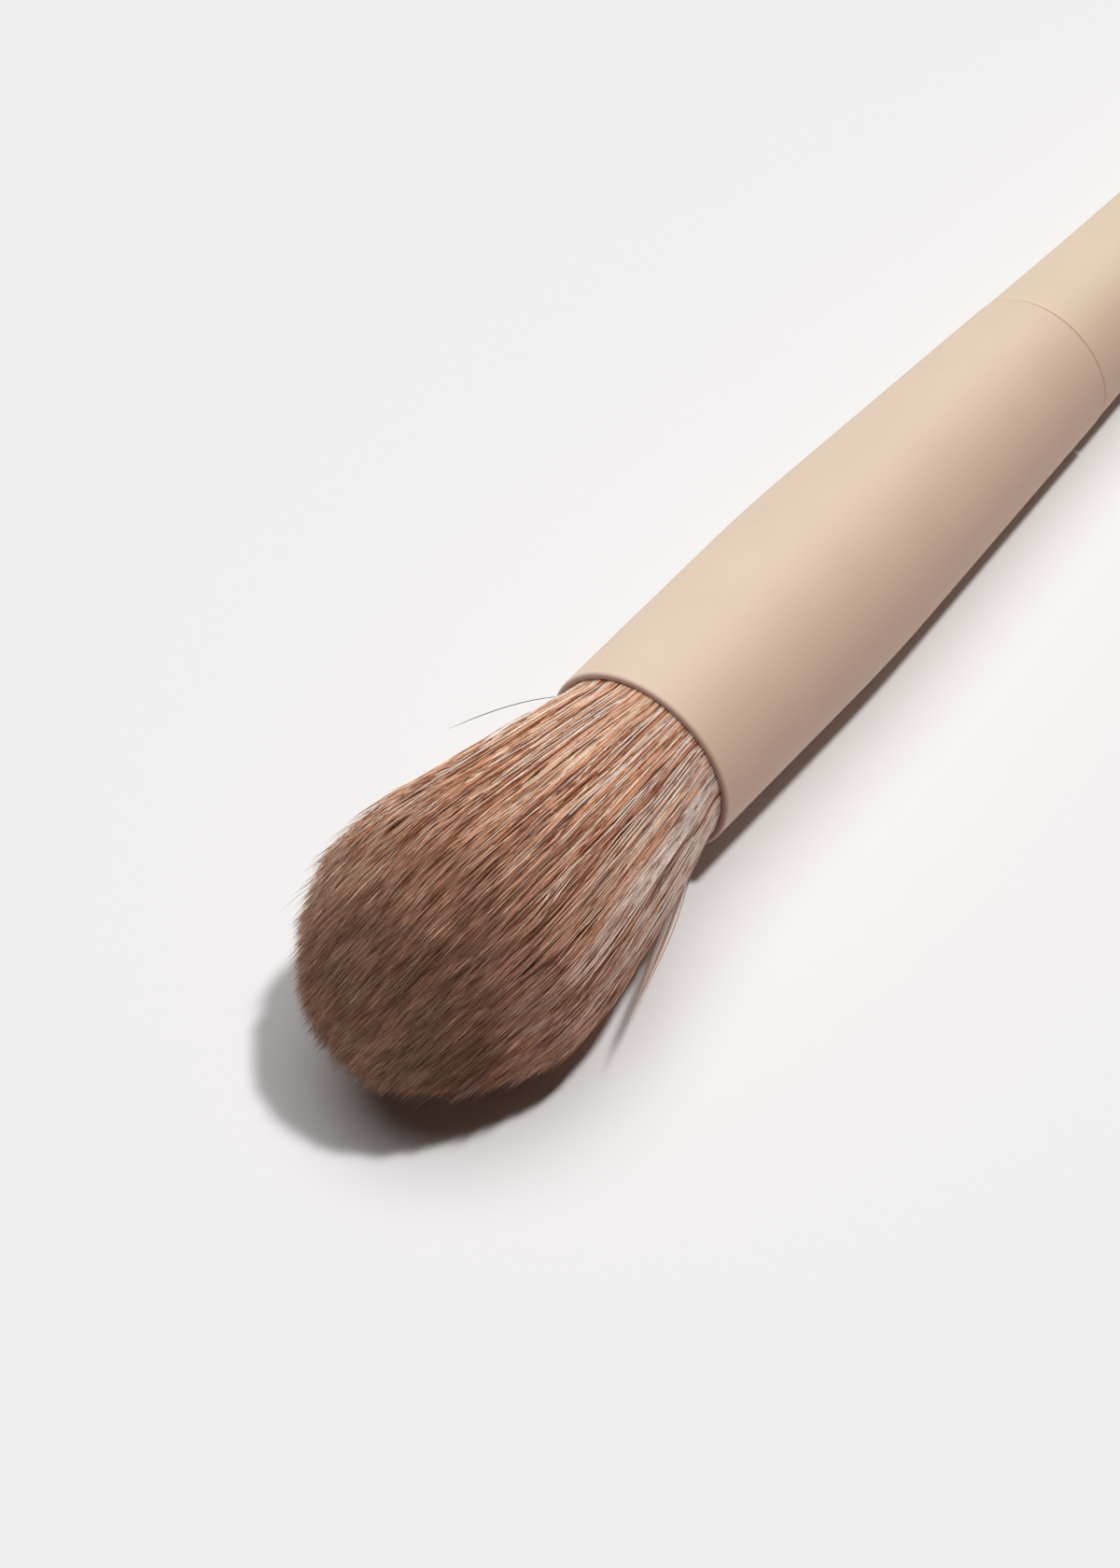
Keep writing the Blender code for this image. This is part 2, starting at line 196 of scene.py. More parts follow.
def hair_end(share):
    """The height at which hairs that start at these shares of the root's radius meet the dome."""
    low = np.full_like(share, BELLY_HEIGHT)
    high = np.full_like(share, HAIR_OUT)
    for _ in range(40):
        middle = (low + high) / 2
        inside = share * widening_radius(middle) < dome_radius(middle)
        low = np.where(inside, middle, low)
        high = np.where(inside, high, middle)
    return low


# Settings that a user would change

class BrushLacquer(bpy.types.PropertyGroup):
    """The paint of ferrule and handle."""

    ferrule_colour: FloatVectorProperty(
        name="Ferrule colour", description="Matt lacquer of the ferrule", subtype="COLOR",
        size=3, min=0.0, max=1.0, default=(0.80, 0.635, 0.468),
    )
    handle_colour: FloatVectorProperty(
        name="Handle colour", description="Matt lacquer of the handle, a little yellower", subtype="COLOR",
        size=3, min=0.0, max=1.0, default=(0.80, 0.645, 0.465),
    )
    roughness: FloatProperty(
        name="Roughness", description="How matt the lacquer is", min=0.0, max=1.0, default=0.5,
    )
    # Painted shade: the brown on the front of the ferrule's wall, which lies in shade beside the hair
    lip_shade_colour: FloatVectorProperty(
        name="Lip colour", description="Thin brownish paint on the front of the ferrule's wall",
        subtype="COLOR", size=3, min=0.0, max=1.0, default=(0.34, 0.215, 0.165),
    )
    lip_rounding: FloatProperty(
        name="Lip rounding", description="Radius of the ferrule's rounded lip", unit="LENGTH",
        min=0.05 * MM, max=0.45 * MM, default=0.38 * MM,
    )
    edge_rounding: FloatProperty(
        name="Edge rounding", description="Radius of the rounded edges at the seam", unit="LENGTH",
        min=0.05 * MM, max=0.29 * MM, default=0.25 * MM,
    )
    seam_gap: FloatProperty(
        name="Seam gap", description="Width of the seam between ferrule and handle", unit="LENGTH",
        min=0.0, max=0.3 * MM, default=0.10 * MM,
    )


class BrushHair(bpy.types.PropertyGroup):
    """The hair of the tuft."""

    count: IntProperty(
        name="Hairs", description="Number of hairs in the tuft", min=1000, max=60000, default=36000,
    )
    locks: IntProperty(
        name="Locks", description="Number of locks that the hairs gather in",
        min=50, max=20000, default=1500,
    )
    hair_radius: FloatProperty(
        name="Hair radius", description="Radius of a hair at its thickest", unit="LENGTH",
        min=0.01 * MM, max=0.3 * MM, default=0.06 * MM,
    )
    gathering: FloatProperty(
        name="Gathering", description="How far a wisp's hairs draw together",
        min=0.0, max=1.0, default=0.55,
    )
    splay: FloatProperty(
        name="Splay", description="How far short hairs may stand off the tuft", unit="LENGTH",
        min=0.0, max=3 * MM, default=0.6 * MM,
    )
    # Painted light: the hair on the lit edges stays copper nearer to its tips
    lit_copper_edge: FloatProperty(
        name="Copper edge", description="How much nearer to its tip the edge's hair turns brown",
        unit="LENGTH", min=0.0, max=15 * MM, default=10.5 * MM,
    )
    swelling: FloatProperty(
        name="Swelling", description="How far the tuft swells beside the table", unit="LENGTH",
        min=0.0, max=2 * MM, default=0.55 * MM,
    )
    short_share: FloatProperty(
        name="Short hairs", description="Share of the outer hairs that end before the dome",
        min=0.0, max=1.0, default=0.25,
    )
    tip_scatter: FloatProperty(
        name="Tip scatter", description="How unevenly the hairs end", unit="LENGTH",
        min=0.0, max=5 * MM, default=0.9 * MM,
    )
    standing_share: FloatProperty(
        name="Standing tips", description="Share of the outer hairs whose tips stand off the tuft",
        min=0.0, max=1.0, default=0.32,
    )
    standing: FloatProperty(
        name="Standing", description="How far such tips stand off at most", unit="LENGTH",
        min=0.0, max=3 * MM, default=0.5 * MM,
    )
    brown_scatter: FloatProperty(
        name="Brown scatter", description="How unevenly the hairs turn brown", unit="LENGTH",
        min=0.0, max=6 * MM, default=1.8 * MM,
    )
    stray_lock_count: IntProperty(
        name="Loose lock", description="Number of hairs in the lock that hangs off",
        min=1, max=60, default=16,
    )
    seed: IntProperty(name="Seed", description="Seed of the random draws", min=0, default=18)


class BrushStage(bpy.types.PropertyGroup):
    """The camera, the lamps and the floor."""

    heading: FloatProperty(
        name="Heading", description="Direction of view over the table, from +X to +Y", subtype="ANGLE",
        default=math.radians(42.32),
    )
    decline: FloatProperty(
        name="Decline", description="How far the camera looks down", subtype="ANGLE",
        default=math.radians(45.45),
    )
    roll: FloatProperty(
        name="Roll", description="Tilt of the camera round its line of sight", subtype="ANGLE",
        default=math.radians(-8.41),
    )
    distance: FloatProperty(
        name="Distance", description="From the camera to the point that it aims at", unit="LENGTH",
        min=0.05, default=467.5 * MM,
    )
    lens: FloatProperty(
        name="Lens", description="Focal length in millimetres on a frame 36 mm high",
        min=10, default=136.88,
    )
    floor_colour: FloatVectorProperty(
        name="Floor colour", description="Colour of the floor and of the background", subtype="COLOR",
        size=3, min=0.0, max=1.0, default=(0.871, 0.871, 0.871),
    )


# Materials

class Value:
    """A number socket that takes part in Python sums: each operator adds its Math node."""

    def __init__(self, finish, socket):
        self.finish = finish
        self.socket = socket

    def math(self, operation, first, second):
        node = self.finish.add("ShaderNodeMath", {"operation": operation}, {0: first, 1: second})
        return Value(self.finish, node.outputs[0])

    def __add__(self, other):
        return self.math("ADD", self, other)

    def __rsub__(self, other):
        return self.math("SUBTRACT", other, self)

    def __mul__(self, other):
        return self.math("MULTIPLY", self, other)

    def __mod__(self, other):
        return self.math("MODULO", self, other)

    __radd__ = __add__
    __rmul__ = __mul__


def set_stops(ramp, stops):
    while len(ramp.elements) < len(stops):
        ramp.elements.new(0.5)
    for element, (position, colour) in zip(ramp.elements, stops):
        element.position = position
        element.color = (*colour, 1.0)


class Finish:
    """A material and the ways to add nodes to it."""

    def __init__(self, name):
        self.material = bpy.data.materials.new(name)
        self.material.use_nodes = True
        self.nodes = self.material.node_tree.nodes
        self.links = self.material.node_tree.links
        self.shader = self.nodes["Principled BSDF"]

    def feed(self, socket, value):
        """Gives a socket a link or a constant."""
        if isinstance(value, Value):
            value = value.socket
        if isinstance(value, bpy.types.NodeSocket):
            self.links.new(value, socket)
        elif isinstance(value, (int, float)):
            socket.default_value = value
        else:
            sized = tuple(value)
            needs_alpha = socket.type == "RGBA" and len(sized) == 3
            socket.default_value = (*sized, 1.0) if needs_alpha else sized

    def add(self, kind, settings=None, sockets=None):
        """A node of this kind with its settings, a ramp's stops among them, and then its sockets."""
        node = self.nodes.new(kind)
        for name, value in (settings or {}).items():
            if name == "stops":
                set_stops(node.color_ramp, value)
            else:
                setattr(node, name, value)
        for name, value in (sockets or {}).items():
            self.feed(node.inputs[name], value)
        return node

    def surface(self, **sockets):
        """Sets sockets of the shader, with underscores for the spaces in their names."""
        for name, value in sockets.items():
            label = name.replace("_", " ").title().replace("Ior", "IOR")
            self.feed(self.shader.inputs[label], value)

    def place(self):
        """Object coordinates."""
        return self.add("ShaderNodeTexCoord").outputs["Object"]

    def noise(self, place, size, detail=2.0, stretch=None):
        """Noise from 0 to 1 whose lumps have this size in metres, stretched along X, Y and Z."""
        if stretch:
            mapping = self.add("ShaderNodeMapping", None, {"Vector": place, "Scale": stretch})
            place = mapping.outputs["Vector"]
        node = self.add("ShaderNodeTexNoise", None, {"Vector": place, "Scale": 1 / size, "Detail": detail})
        return Value(self, node.outputs["Fac"])

    def ramp(self, factor, stops):
        return self.add("ShaderNodeValToRGB", {"stops": stops}, {"Fac": factor}).outputs["Color"]

    def mix(self, factor, first, second, way="MIX"):
        """A mix of two colours."""
        sockets = {MIX_FACTOR: factor, MIX_FIRST: first, MIX_SECOND: second}
        node = self.add("ShaderNodeMix", {"data_type": "RGBA", "blend_type": way}, sockets)
        return node.outputs[MIX_RESULT]

    def tinted(self, colour, tint):
        """A colour times another."""
        return self.mix(1.0, colour, tint, "MULTIPLY")

    def eased(self, value, start, end):
        """A number that eases from 0 at start to 1 at end."""
        node = self.add(
            "ShaderNodeMapRange", {"interpolation_type": "SMOOTHSTEP"},
            {"Value": value, "From Min": start, "From Max": end},
        )
        return Value(self, node.outputs["Result"])

    def bump(self, height, depth):
        """Lets a height from 0 to 1 stand this many metres proud."""
        node = self.add("ShaderNodeBump", None, {"Height": height, "Distance": depth, "Strength": 1.0})
        self.feed(self.shader.inputs["Normal"], node.outputs["Normal"])


def shaded(colour, factor):
    return tuple(channel * factor for channel in colour)


def lacquer(name, colour, roughness, lip_shade_colour=None):
    """Matt paint with a soft cloudiness and a fine grain; painted shade makes it browner where the lip
    attribute is 1.
    """
    finish = Finish(name)
    place = finish.place()
    cloud = finish.noise(place, 6 * MM)
    grain = finish.noise(place, 0.22 * MM, detail=1.0)
    shades = [(0.3, shaded(colour, 0.975)), (0.7, shaded(colour, 1.02))]
    tint = finish.ramp(cloud * 0.7 + grain * 0.3, shades)
    if lip_shade_colour:
        # Painted shade: the lip turns brown where the lip attribute is 1
        lip = finish.add("ShaderNodeAttribute", {"attribute_name": "lip"}).outputs["Fac"]
        tint = finish.mix(lip, tint, lip_shade_colour)
    finish.surface(base_color=tint, roughness=roughness - 0.03 + cloud * 0.06)
    finish.bump(grain, 0.004 * MM)
    return finish.material


def clouded(name, size, colours, roughness, relief, detail=2.0, stretch=None, **sockets):
    """A finish whose colour, roughness and relief all follow one noise of this size."""
    finish = Finish(name)
    cloud = finish.noise(finish.place(), size, detail, stretch)
    least, spread = roughness
    finish.surface(base_color=finish.ramp(cloud, colours), roughness=least + cloud * spread, **sockets)
    if relief:
        finish.bump(cloud, relief)
    return finish.material


def bare_metal():
    """Drawn aluminium on the inside of the ferrule, with fine rings."""
    colours = [(0.3, (0.62, 0.61, 0.60)), (0.7, (0.78, 0.77, 0.76))]
    rings = (1.0, 0.02, 0.02)
    return clouded("bare_aluminium", 0.15 * MM, colours, (0.28, 0.15), None, stretch=rings, metallic=1.0)


def bare_wood():
    """Pale turned wood of the tenon, with grain along the handle."""
    finish = Finish("bare_wood")
    place = finish.place()
    grain = finish.noise(place, 0.8 * MM, detail=4.0, stretch=(0.06, 1.0, 1.0))
    pores = finish.noise(place, 0.25 * MM, stretch=(0.05, 1.0, 1.0))
    colours = [(0.35, (0.62, 0.43, 0.26)), (0.5, (0.74, 0.56, 0.37)), (0.65, (0.80, 0.64, 0.45))]
    finish.surface(base_color=finish.ramp(grain, colours), roughness=0.6 + pores * 0.15)
    finish.bump(pores, 0.02 * MM)
    return finish.material


def thread():
    """Waxed thread with its twist."""
    colours = [(0.35, (0.56, 0.50, 0.42)), (0.6, (0.80, 0.76, 0.68))]
    return clouded("waxed_thread", 0.18 * MM, colours, (0.7, 0.2), 0.05 * MM, stretch=(1.0, 0.4, 0.4))


def resin(name):
    """Cured amber glue with a slight cloud."""
    colours = [(0.3, (0.58, 0.40, 0.16)), (0.7, (0.78, 0.62, 0.34))]
    return clouded(name, 1.5 * MM, colours, (0.22, 0.2), 0.05 * MM, detail=3.0, coat_weight=0.3)


def set_roots():
    """The resin-set bundle of roots: fine lines along the brush."""
    colours = [(0.35, (0.20, 0.11, 0.07)), (0.5, (0.42, 0.25, 0.17)), (0.68, (0.66, 0.52, 0.42))]
    lines = (0.02, 1.0, 1.0)
    return clouded(
        "resin_set_roots", 0.12 * MM, colours, (0.3, 0.2), 0.03 * MM, stretch=lines, coat_weight=0.4,
    )


# The length of hair that its map covers, how far into the map tips lie, and the tones of hair
TONE_LENGTH = 42.0 * MM
TIP_MARGIN = 2.5 * MM
COPPER_TONES = (0.02, 0.58)
PALE_TONES = (0.62, 0.80)
DARK_TONES = (0.84, 0.98)

# Where on the map tips turn from dyed brown to the roots' colours, and how unevenly from tone to tone
DYED_REACH = (0.16, 0.37)
DYED_UNEVENNESS = 0.05
UNEVENNESS_REPEATS = 37.0

# How many dark flecks lie along the map and across it: partly dark hair, partly painted shade in the gaps
# between strands
FLECK_STRETCH = (17.0, 170.0, 1.0)


def hair():
    """Hair that reads its own map: across, how far from its tip; up, which tone of hair it is."""
    finish = Finish("dyed_hair")
    uv = finish.add("ShaderNodeUVMap", {"uv_map": "OFBake"}).outputs["UV"]
    split = finish.add("ShaderNodeSeparateXYZ", None, {"Vector": uv})
    from_tip = Value(finish, split.outputs["X"])
    tone = Value(finish, split.outputs["Y"])
    root_colours = [
        (0.02, (0.74, 0.400, 0.245)),
        (0.25, (0.90, 0.585, 0.395)),
        (0.45, (0.94, 0.710, 0.520)),
        (0.58, (0.96, 0.820, 0.665)),
        (0.62, (0.98, 0.865, 0.760)),
        (0.80, (1.00, 0.965, 0.890)),
        (0.84, (0.48, 0.205, 0.112)),
        (0.98, (0.24, 0.103, 0.057)),
    ]
    tip_colours = [
        (0.02, (0.35, 0.167, 0.104)),
        (0.30, (0.66, 0.355, 0.225)),
        (0.58, (0.93, 0.560, 0.390)),
        (0.80, (0.86, 0.550, 0.395)),
        (0.84, (0.27, 0.140, 0.086)),
        (0.98, (0.15, 0.083, 0.054)),
    ]
    uneven = (tone * UNEVENNESS_REPEATS) % 1.0
    dip = finish.eased(from_tip + uneven * DYED_UNEVENNESS, *DYED_REACH)
    colour = finish.mix(dip, finish.ramp(tone, tip_colours), finish.ramp(tone, root_colours))
    # Dark flecks along the hair: partly dark hair, partly painted shade in the gaps between strands
    fleck = finish.noise(uv, 1.0, stretch=FLECK_STRETCH)
    light = finish.ramp(fleck, [(0.35, (0.40, 0.22, 0.145)), (0.475, (1.0, 1.0, 1.0))])
    colour = finish.tinted(colour, light)
    along = finish.ramp(from_tip, [
        (0.0, (0.60, 0.61, 0.60)),
        (0.14, (1.00, 0.985, 0.965)),
        (0.25, (1.00, 0.900, 0.820)),
        (0.42, (1.00, 0.960, 0.920)),
        (0.66, (1.00, 1.000, 1.000)),
    ])
    colour = finish.tinted(colour, along)
    finish.surface(base_color=colour, roughness=0.62 - dip * 0.20, specular_ior_level=0.4)
    return finish.material


# What the table throws back on the brush, less than it shows
TABLE_BOUNCE = (0.42, 0.37, 0.39)


def floor_finish(colour):
    """The plain pale table, which throws about half as much light back as the camera sees on it."""
    finish = Finish("pale_table")
    rays = finish.add("ShaderNodeLightPath").outputs
    shown = Value(finish, rays["Is Camera Ray"]) + rays["Is Glossy Ray"] + rays["Is Transmission Ray"]
    finish.surface(
        base_color=finish.mix(shown, TABLE_BOUNCE, tuple(colour)),
        roughness=0.9,
        specular_ior_level=0.0,
    )
    return finish.material


# Meshes

def new_object(name, content):
    made = bpy.data.objects.new(name, content)
    bpy.context.scene.collection.objects.link(made)
    return made


def settle(mesh, piece_name, slot, *nodes):
    """Lays a mesh on the brush's axis, as a piece that rides on the frame and stands for its nodes."""
    mesh.transform(BRUSH_TO_WORLD)
    mesh.update()
    piece = new_object(piece_name, mesh)
    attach(piece, "root")
    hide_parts(*nodes)


def turned_mesh(name, profile, ring=False):
    """A mesh of revolution from a row of (radius, station) points; a ring's row is closed."""
    form = bmesh.new()
    corners = [form.verts.new((radius, 0.0, -station)) for radius, station in profile]
    following = corners[1:] + corners[:1] if ring else corners[1:]
    edges = [form.edges.new(pair) for pair in zip(corners, following)]
    bmesh.ops.spin(
        form, geom=corners + edges, axis=(0.0, 0.0, 1.0), cent=(0.0, 0.0, 0.0),
        angle=math.tau, steps=TURN_STEPS, use_merge=True,
    )
    bmesh.ops.remove_doubles(form, verts=form.verts, dist=MERGE_DISTANCE)
    bmesh.ops.recalc_face_normals(form, faces=form.faces)
    mesh = bpy.data.meshes.new(name)
    form.to_mesh(mesh)
    form.free()
    mesh.shade_smooth()
    mesh.set_sharp_from_angle(angle=SHARP_ANGLE)
    return mesh


def rounding(centre_radius, centre_station, radius, start, end):
    """Points of a rounded edge, with angles in degrees counted from outwards towards the far end."""
    points = []
    for k in range(ARC_PARTS + 1):
        angle = math.radians(start + (end - start) * k / ARC_PARTS)
        station = centre_station + radius * math.sin(angle)
        points.append((centre_radius + radius * math.cos(angle), station))
    return points


def steps_between(start, end, parts):
    return [start + (end - start) * k / parts for k in range(parts + 1)]


# Ferrule

def ferrule_profile(edge, lip_edge):
    """From the lip down the outside, round the rear edge and back up the bore to the lip's inner edge."""
    shoulder_end = STRAIGHT_LENGTH + SHOULDER_LENGTH
    stations = steps_between(STRAIGHT_LENGTH, shoulder_end, TAPER_PARTS)
    inner_edge = FERRULE_WALL * 0.95 - lip_edge
    lip = rounding(MOUTH_RADIUS - lip_edge, lip_edge, lip_edge, -90, 0)
    rear = rounding(REAR_RADIUS - edge, FERRULE_LENGTH - edge, edge, 0, 90)
    inner_lip = rounding(bore_radius(0) + inner_edge, inner_edge, inner_edge, 180, 270)
    outside = [(ferrule_radius(station), station) for station in stations]
    inside = [(bore_radius(station), station) for station in reversed(stations)]
    rear_bore = [(bore_radius(FERRULE_LENGTH), FERRULE_LENGTH)]
    return lip + outside + rear + rear_bore + inside + inner_lip


def mark_lip_shade(mesh, lip_edge):
    """Marks the front of the wall, where shade is painted: 1 on its face, less round its outer edge."""
    lip = mesh.attributes.new("lip", "FLOAT", "POINT")
    for corner in mesh.vertices:
        radius = math.hypot(corner.co.x, corner.co.y)
        inwards = (MOUTH_RADIUS - radius) / lip_edge
        near = max(0.0, 1 + corner.co.z / lip_edge)
        lip.data[corner.index].value = math.sqrt(near) * min(1.0, max(0.0, 0.3 + 1.5 * inwards))


class BRUSH_OT_ferrule(bpy.types.Operator):
    """Turn the ferrule: lacquer outside, bare metal inside"""

    bl_idname = "blush_brush.ferrule"
    bl_label = "Ferrule"

    def execute(self, context):
        looks = context.scene.brush_lacquer
        profile = ferrule_profile(looks.edge_rounding, looks.lip_rounding)
        mesh = turned_mesh("ferrule_tube", profile, ring=True)
        mark_lip_shade(mesh, looks.lip_rounding)
        finish = lacquer("ferrule_lacquer", looks.ferrule_colour, looks.roughness, looks.lip_shade_colour)
        mesh.materials.append(finish)
        mesh.materials.append(bare_metal())
        for face in mesh.polygons:
            station = -face.center.z
            radius = math.hypot(face.center.x, face.center.y)
            inside = radius < bore_radius(station) + FERRULE_WALL / 4
            face.material_index = int(inside and station > looks.lip_rounding)
        settle(mesh, "ferrule_tube", "ferrule_paint", "ferrule")
        return {"FINISHED"}


# Handle

def handle_profile(edge, seam_gap):
    """The tenon, the shoulder at the seam, the taper and the rounded butt with its small flat."""
    seam_radius = REAR_RADIUS - SEAM_STEP
    tenon_radius = bore_radius(FERRULE_LENGTH) - FIT_GAP
    front = HANDLE_START - TENON_LENGTH
    shoulder_station = FERRULE_LENGTH + seam_gap
    taper_end = HANDLE_END - BUTT_ROUNDING_LENGTH
    tenon = [
        (0.0, front),
        (tenon_radius - TENON_CHAMFER, front),
        (tenon_radius, front + TENON_CHAMFER),
        (tenon_radius, shoulder_station),
    ]
    shoulder = rounding(seam_radius - edge, shoulder_station + edge, edge, -90, 0)
    stations = steps_between(HANDLE_START + 2 * edge, taper_end, TAPER_PARTS)
    for k in range(1, 2 * ARC_PARTS + 1):
        angle = math.pi / 2 * k / (2 * ARC_PARTS)
        stations.append(taper_end + BUTT_ROUNDING_LENGTH * math.sin(angle))
    outside = [(handle_radius(station, seam_radius), station) for station in stations]
    return tenon + shoulder + outside + [(0.0, HANDLE_END)]


class BRUSH_OT_handle(bpy.types.Operator):
    """Turn the handle: lacquer outside, bare wood on the tenon"""

    bl_idname = "blush_brush.handle"
    bl_label = "Handle"

    def execute(self, context):
        looks = context.scene.brush_lacquer
        mesh = turned_mesh("handle_body", handle_profile(looks.edge_rounding, looks.seam_gap))
        mesh.materials.append(lacquer("handle_lacquer", looks.handle_colour, looks.roughness))
        mesh.materials.append(bare_wood())
        for face in mesh.polygons:
            face.material_index = int(-face.center.z < FERRULE_LENGTH)
        settle(mesh, "handle_body", "handle_paint", "handle")
        return {"FINISHED"}


# Pieces inside the ferrule

class BRUSH_OT_inner_pieces(bpy.types.Operator):
    """Give the thread and the glue inside the ferrule their finishes"""

    bl_idname = "blush_brush.inner_pieces"
    bl_label = "Inner pieces"

    def execute(self, context):
        finishes = {
            "root_binding": thread(),
            "root_glue_plug": resin("root_resin"),
            "tenon_glue": resin("tenon_resin"),
        }
        for name, material in finishes.items():
            mesh = frame["nodes"][name].data
            mesh.materials.clear()
            mesh.materials.append(material)
        return {"FINISHED"}


# Tuft

# How far along a hair its points lie, and how thick it is there, for hairs that show and hairs that don't
SHOWN_PLACES = np.array([0.0, 0.06, 0.14, 0.23, 0.33, 0.43, 0.53, 0.63, 0.73, 0.83, 0.93, 1.0])
SHOWN_WIDTHS = np.array([0.0, 0.85, 0.95, 1.00, 1.08, 1.15, 1.20, 1.20, 1.12, 0.95, 0.55, 0.0])
INNER_PLACES = np.array([0.0, 0.10, 0.45, 0.75, 0.92, 1.0])
INNER_WIDTHS = np.array([0.0, 0.90, 1.00, 1.00, 0.60, 0.0])

# The tuft is made in sectors; its colour leans one way in each patch, and each lock has its wisps
SECTORS = 8
PATCHES = 420
WISPS_PER_LOCK = 5

# How deep hairs start in the set root, and between which heights they come free of it
ROOT_HOLD = 1.5 * MM
FREE_FROM = -1.0 * MM
FREE_AT = 7.0 * MM

# How far along a hair its tip's part starts, and how far a lock's tips draw together
TIP_FROM = 0.4
LOCK_GATHERING = 0.32

# How far dense hair stays inside the tuft's outline, and the height from which it does in full
THINNING = 0.45 * MM
THINNED_AT = 15.0 * MM

# How far the underside is cut back, and how much sooner than the dome short hairs end
UNDERSIDE_TRIM = 2.2 * MM
EARLY_BY = (0.5 * MM, 9.0 * MM)

# How far locks and hairs stray sideways at their tips, and cross the others
LOCK_DRIFT = 0.10 * MM
HAIR_DRIFT = 0.20 * MM
CROSSING = 1.5 * MM
CROSSING_SHARE = 0.10

# How far locks and hairs wave sideways, and the shortest and longest of their waves
LOCK_WAVE = 0.055 * MM
LOCK_WAVE_LENGTHS = (10 * MM, 22 * MM)
HAIR_WAVE = 0.032 * MM
HAIR_WAVE_LENGTHS = (6 * MM, 13 * MM)

# The shortest and longest stretch over which a wisp opens and closes
WISP_PULSE_LENGTHS = (6 * MM, 15 * MM)

# How far out, as a share of the root's radius, hairs show, may be short, and may stand off
SHOWN_FROM = 0.78
SHORT_FROM = 0.84
STANDING_FROM = 0.90

# The share of the root's radius that the outermost hairs count as where they meet the dome
RIM_SHARE = 0.985

# How much a hair's end and its turn to brown vary with its lock, with its wisp and on its own
END_SPREADS = (0.4, 0.4, 0.5)
BROWN_SPREADS = (0.9, 0.6, 0.3)

# How likely a lock, a wisp and a lone hair are dark
DARK_LOCKS = 0.02
DARK_WISPS = 0.06
DARK_HAIRS = 0.10


def disc_points(count, jitter, chance):
    """Points spread evenly over a disc of radius 1, each nudged a little."""
    index = np.arange(count)
    share = np.sqrt((index + 0.5) / count)
    turn = index * GOLDEN_ANGLE
    points = np.stack([share * np.cos(turn), share * np.sin(turn)], 1)
    points += chance.normal(0, jitter / math.sqrt(count), (count, 2))
    reach = np.linalg.norm(points, axis=1, keepdims=True)
    return points / np.maximum(reach, 1)


def nearest(points, centres):
    """Which centre each point is nearest to."""
    tree = KDTree(len(centres))
    for k, centre in enumerate(centres):
        tree.insert((*centre, 0.0), k)
    tree.balance()
    return np.array([tree.find((*point, 0.0))[1] for point in points])


def pick_tones(pale_chance, dark_chance, chance):
    """A tone for each lock, wisp or hair, copper where it is neither pale nor dark."""
    kind = chance.random(len(pale_chance))
    place = chance.random(len(pale_chance))
    tones = COPPER_TONES[0] + (COPPER_TONES[1] - COPPER_TONES[0]) * place
    pale = kind < pale_chance
    dark = kind > 1 - dark_chance
    tones[pale] = (PALE_TONES[0] + (PALE_TONES[1] - PALE_TONES[0]) * place)[pale]
    tones[dark] = (DARK_TONES[0] + (DARK_TONES[1] - DARK_TONES[0]) * place)[dark]
    return tones


def beside(points, side, reach):
    """How near to a side points lie round the brush: 1 on it, and little beyond its reach."""
    turn = np.arctan2(points[..., 1], points[..., 0]) - side
    away = (turn + math.pi) % math.tau - math.pi
    return np.exp(-((away / reach) ** 2))


def pale_and_highlight_chances(points):
    """How likely pale hair is, pale strands and painted highlights together: most likely on the right, and
    a little on the left edge.
    """
    right = beside(points, PALE_AND_HIGHLIGHT_RIGHT, PALE_AND_HIGHLIGHT_RIGHT_REACH)
    left = beside(points, PALE_AND_HIGHLIGHT_LEFT, PALE_AND_HIGHLIGHT_LEFT_REACH)
    return 0.10 + 0.30 * right + 0.15 * left


def hair_tones(roots, wisps, wisp, locks, lock, chance):
    """Tones of the hairs: their wisp's or their lock's, with lone pale and dark hairs between."""
    lock_tones = pick_tones(pale_and_highlight_chances(locks), DARK_LOCKS, chance)
    wisp_tones = pick_tones(pale_and_highlight_chances(wisps), DARK_WISPS, chance)
    lone_tones = pick_tones(pale_and_highlight_chances(roots) * 0.45 + 0.06, DARK_HAIRS, chance)
    streaky = beside(wisps, STREAKY_SIDE, STREAKY_REACH)
    with_lock = chance.random(len(wisps)) < 0.2 + 0.3 * streaky
    tones = np.where(with_lock[wisp], lock_tones[lock], wisp_tones[wisp])
    copper = tones < COPPER_TONES[1]
    tones += chance.normal(0, np.where(copper, 0.06, 0.015))
    tones = np.where(copper, np.clip(tones, *COPPER_TONES), np.clip(tones, PALE_TONES[0], DARK_TONES[1]))
    return np.where(lone_tones > COPPER_TONES[1], lone_tones, tones)


def eased(value, start, end):
    """Eases from 0 at start to 1 at end."""
    place = np.clip((value - start) / (end - start), 0, 1)
    return place * place * (3 - 2 * place)


class Wave:
    """Slow waves across the brush, one for each of so many strands."""

    def __init__(self, count, size, lengths, chance):
        self.length = chance.uniform(*lengths, (count, 2))
        self.start = chance.random((count, 2))
        self.reach = chance.normal(0, size, (count, 2))

    def shift(self, owners, heights):
        """How far these strands are shifted upwards and across at their heights."""
        turns = heights[:, :, None] / self.length[owners, None, :] + self.start[owners, None, :]
        return self.reach[owners, None, :] * np.sin(math.tau * turns)

    def steady(self, owners, heights):
        """A plain wave between -1 and 1."""
        return np.sin(math.tau * (heights / self.length[owners, :1] + self.start[owners, :1]))


